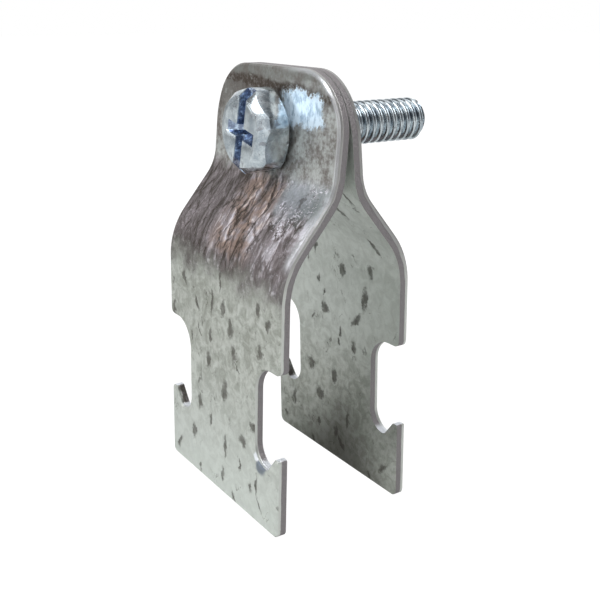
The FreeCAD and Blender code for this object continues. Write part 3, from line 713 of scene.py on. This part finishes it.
def threadTree():
    tree = bpy.data.node_groups.new("woundThread", "GeometryNodeTree")
    faces = tree.interface
    faces.new_socket("Geometry", in_out="OUTPUT", socket_type="NodeSocketGeometry")
    names = ["Start", "Length", "Pitch", "Crest radius", "Root radius", "Tip radius", "Tip slope",
             "Phase", "Axis height", "Wall radius"]
    for name in names:
        faces.new_socket(name, in_out="INPUT", socket_type="NodeSocketFloat")
    faces.new_socket("Rows", in_out="INPUT", socket_type="NodeSocketInt")
    faces.new_socket("Material", in_out="INPUT", socket_type="NodeSocketMaterial")
    entry = tree.nodes.new("NodeGroupInput")
    given = {socket.name: Wire(tree, socket) for socket in entry.outputs if socket.name}

    steps = thread["steps_a_turn"]
    band = thread["rows_a_pitch"]
    grid = tree.nodes.new("GeometryNodeMeshGrid")
    grid.inputs["Vertices X"].default_value = steps + 1
    tree.links.new(given["Rows"].socket, grid.inputs["Vertices Y"])
    index = Wire(tree, tree.nodes.new("GeometryNodeInputIndex").outputs[0])
    column = (index / given["Rows"] + thread["rounding"]).maths("FLOOR")
    row = index - column * given["Rows"]
    turn = column / steps
    lengthways = (row / band + turn - 1.0) * given["Pitch"]
    held = lengthways.most(0.0).least(given["Length"])
    phase = (row / band + given["Phase"]).maths("FRACT")
    ridge = 1 - abs(phase * 2 - 1)
    flank = (ridge - thread["root_share"]) / (1 - thread["root_share"] - thread["crest_share"])
    flank = flank.most(0.0).least(1.0)
    eased = (flank * (math.pi / 2)).maths("SINE")
    lift = given["Root radius"] + (given["Crest radius"] - given["Root radius"]) * eased
    tip = given["Tip radius"] + (given["Length"] - held) * given["Tip slope"]
    radius = lift.least(tip)
    # the first and last rows close the thread: at the axis on a screw, or at the outer wall of
    # a nut's lining, where the first row lies at the far end and meets the last
    lining = given["Wall radius"].maths("GREATER_THAN", 0.0)
    first = row.maths("LESS_THAN", 0.5)
    ends = row.maths("LESS_THAN", lining + 0.5).most(row.maths("COMPARE", given["Rows"] - 1.0, 0.5))
    radius = radius * (1 - ends) + given["Wall radius"] * ends
    held = held + (given["Length"] - held) * first * lining
    angle = turn * (2 * math.pi)
    spot = tree.nodes.new("ShaderNodeCombineXYZ")
    steered = (radius * angle.maths("COSINE"), given["Start"] + held,
               given["Axis height"] - radius * angle.maths("SINE"))
    for wire, socket in zip(steered, spot.inputs):
        tree.links.new(wire.socket, socket)
    place = tree.nodes.new("GeometryNodeSetPosition")
    tree.links.new(grid.outputs[0], place.inputs["Geometry"])
    tree.links.new(spot.outputs[0], place.inputs["Position"])
    merge = tree.nodes.new("GeometryNodeMergeByDistance")
    merge.inputs["Distance"].default_value = thread["weld"]
    tree.links.new(place.outputs[0], merge.inputs["Geometry"])
    real = tree.nodes.new("GeometryNodeRealizeInstances")
    tree.links.new(merge.outputs[0], real.inputs[0])
    paint = tree.nodes.new("GeometryNodeSetMaterial")
    tree.links.new(real.outputs[0], paint.inputs["Geometry"])
    tree.links.new(given["Material"].socket, paint.inputs["Material"])
    leave = tree.nodes.new("NodeGroupOutput")
    tree.links.new(paint.outputs[0], leave.inputs[0])
    return tree


woundThread = threadTree()


def windThread(name, inputs, material):
    holder = bpy.data.objects.new(name, bpy.data.meshes.new(name))
    bpy.context.scene.collection.objects.link(holder)
    modifier = holder.modifiers.new("thread", "NODES")
    modifier.node_group = woundThread
    rows = round((inputs["Length"] / thread["pitch"] + 1) * thread["rows_a_pitch"]) + 3
    values = {**inputs, "Pitch": thread["pitch"], "Rows": rows, "Material": material}
    for item in woundThread.interface.items_tree:
        if item.in_out == "INPUT":
            modifier[item.identifier] = values[item.name]
    bpy.context.view_layer.update()
    graph = bpy.context.evaluated_depsgraph_get()
    mesh = bpy.data.meshes.new_from_object(holder.evaluated_get(graph))
    bpy.data.objects.remove(holder)
    return mesh


# clamp screw: its head from the CAD solid, with softened edges, and a wound thread

screw = {
    "head_edge": 0.13 * mm,
    "head_from": 4.5 * mm,  # from the axis, wider than the shank
    "head_cut": 0.6 * mm,  # below the head, where the CAD shank is cut off
    "thread_from": 0.5 * mm,
    "tip_flat": 2.2 * mm,
    "tip_slope": 1.0,
}

meshing = {
    "weld": 0.001 * mm,
    "flat_angle": math.radians(2),
    "edge_angle": math.radians(25),
    "sharp_angle": math.radians(28),
}


def mergedCopy(name):
    mesh = nodes[name].data.copy()
    work = bmesh.new()
    work.from_mesh(mesh)
    bmesh.ops.remove_doubles(work, verts=work.verts, dist=meshing["weld"])
    return mesh, work


def dissolveFlats(work):
    bmesh.ops.dissolve_limit(work, angle_limit=meshing["flat_angle"], verts=work.verts,
                             edges=work.edges)


def softenEdges(mesh, width):
    holder = bpy.data.objects.new("soft", mesh)
    bpy.context.scene.collection.objects.link(holder)
    bevel = holder.modifiers.new("bevel", "BEVEL")
    bevel.width = width
    bevel.segments = 2
    bevel.limit_method = "ANGLE"
    bevel.angle_limit = meshing["edge_angle"]
    bevel.use_clamp_overlap = True
    bevel.miter_outer = "MITER_ARC"
    graph = bpy.context.evaluated_depsgraph_get()
    soft = bpy.data.meshes.new_from_object(holder.evaluated_get(graph))
    bpy.data.objects.remove(holder)
    return soft


def headMesh(axis):
    mesh, work = mergedCopy("clamp_screw")
    bearing = max(v.co.y for v in work.verts
                  if math.hypot(v.co.x, v.co.z - axis) > screw["head_from"])
    geometry = work.verts[:] + work.edges[:] + work.faces[:]
    bmesh.ops.bisect_plane(work, geom=geometry, plane_co=(0, bearing + screw["head_cut"], 0),
                           plane_no=(0, 1, 0), clear_outer=True)
    rim = [edge for edge in work.edges if edge.is_boundary]
    bmesh.ops.contextual_create(work, geom=rim)
    dissolveFlats(work)
    bmesh.ops.recalc_face_normals(work, faces=work.faces)
    work.to_mesh(mesh)
    work.free()
    return softenEdges(mesh, screw["head_edge"]), bearing


def joinMeshes(name, meshes, material):
    work = bmesh.new()
    for mesh in meshes:
        work.from_mesh(mesh)
    mesh = bpy.data.meshes.new(name)
    bmesh.ops.recalc_face_normals(work, faces=work.faces)
    bmesh.ops.triangulate(work, faces=[f for f in work.faces if len(f.verts) > 4])
    work.to_mesh(mesh)
    work.free()
    mesh.materials.clear()
    mesh.materials.append(material)
    for polygon in mesh.polygons:
        polygon.material_index = 0
    mesh.set_sharp_from_angle(angle=meshing["sharp_angle"])
    piece = bpy.data.objects.new(name, mesh)
    bpy.context.scene.collection.objects.link(piece)
    return piece


def makeScrew():
    low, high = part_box("nut")
    axis = (low.z + high.z) / 2
    face, tip = [corner.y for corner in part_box("clamp_screw")]
    head, bearing = headMesh(axis)
    material = platingMaterial("zincScrew", 1, (face / mm, axis / mm))
    start = bearing + screw["thread_from"]
    shank = windThread("shank", {
        "Start": start, "Length": tip - start, "Crest radius": thread["major"],
        "Root radius": thread["major"] - thread["depth"], "Tip radius": screw["tip_flat"],
        "Tip slope": screw["tip_slope"], "Phase": 0.0, "Axis height": axis,
        "Wall radius": 0.0}, material)
    piece = joinMeshes("detailedScrew", [head, shank], material)
    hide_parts("clamp_screw")
    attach(piece, "screw")
    print("screw:", len(piece.data.polygons), "faces")
    return axis, start


boltAxis, threadStart = makeScrew()


# nut: the CAD solid with softened edges, and a thread wound in phase with the screw's

nutLook = {
    "edge": 0.08 * mm,
    "thread_inset": 0.35 * mm,
    "thread_clearance": 0.05 * mm,
    "lining_radius": 3.6 * mm,
}


def makeNut():
    material = platingMaterial("zincNut", 3)
    mesh, work = mergedCopy("nut")
    dissolveFlats(work)
    work.to_mesh(mesh)
    work.free()
    low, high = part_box("nut")
    start = low.y + nutLook["thread_inset"]
    crest = thread["major"] + nutLook["thread_clearance"]
    lining = windThread("lining", {
        "Start": start, "Length": high.y - nutLook["thread_inset"] - start, "Crest radius": crest,
        "Root radius": crest - thread["depth"], "Tip radius": crest, "Tip slope": 0.0,
        "Phase": (start - threadStart) / thread["pitch"], "Axis height": boltAxis,
        "Wall radius": nutLook["lining_radius"]}, material)
    piece = joinMeshes("detailedNut", [softenEdges(mesh, nutLook["edge"]), lining], material)
    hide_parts("nut")
    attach(piece, "nut")
    print("nut:", len(piece.data.polygons), "faces")


makeNut()
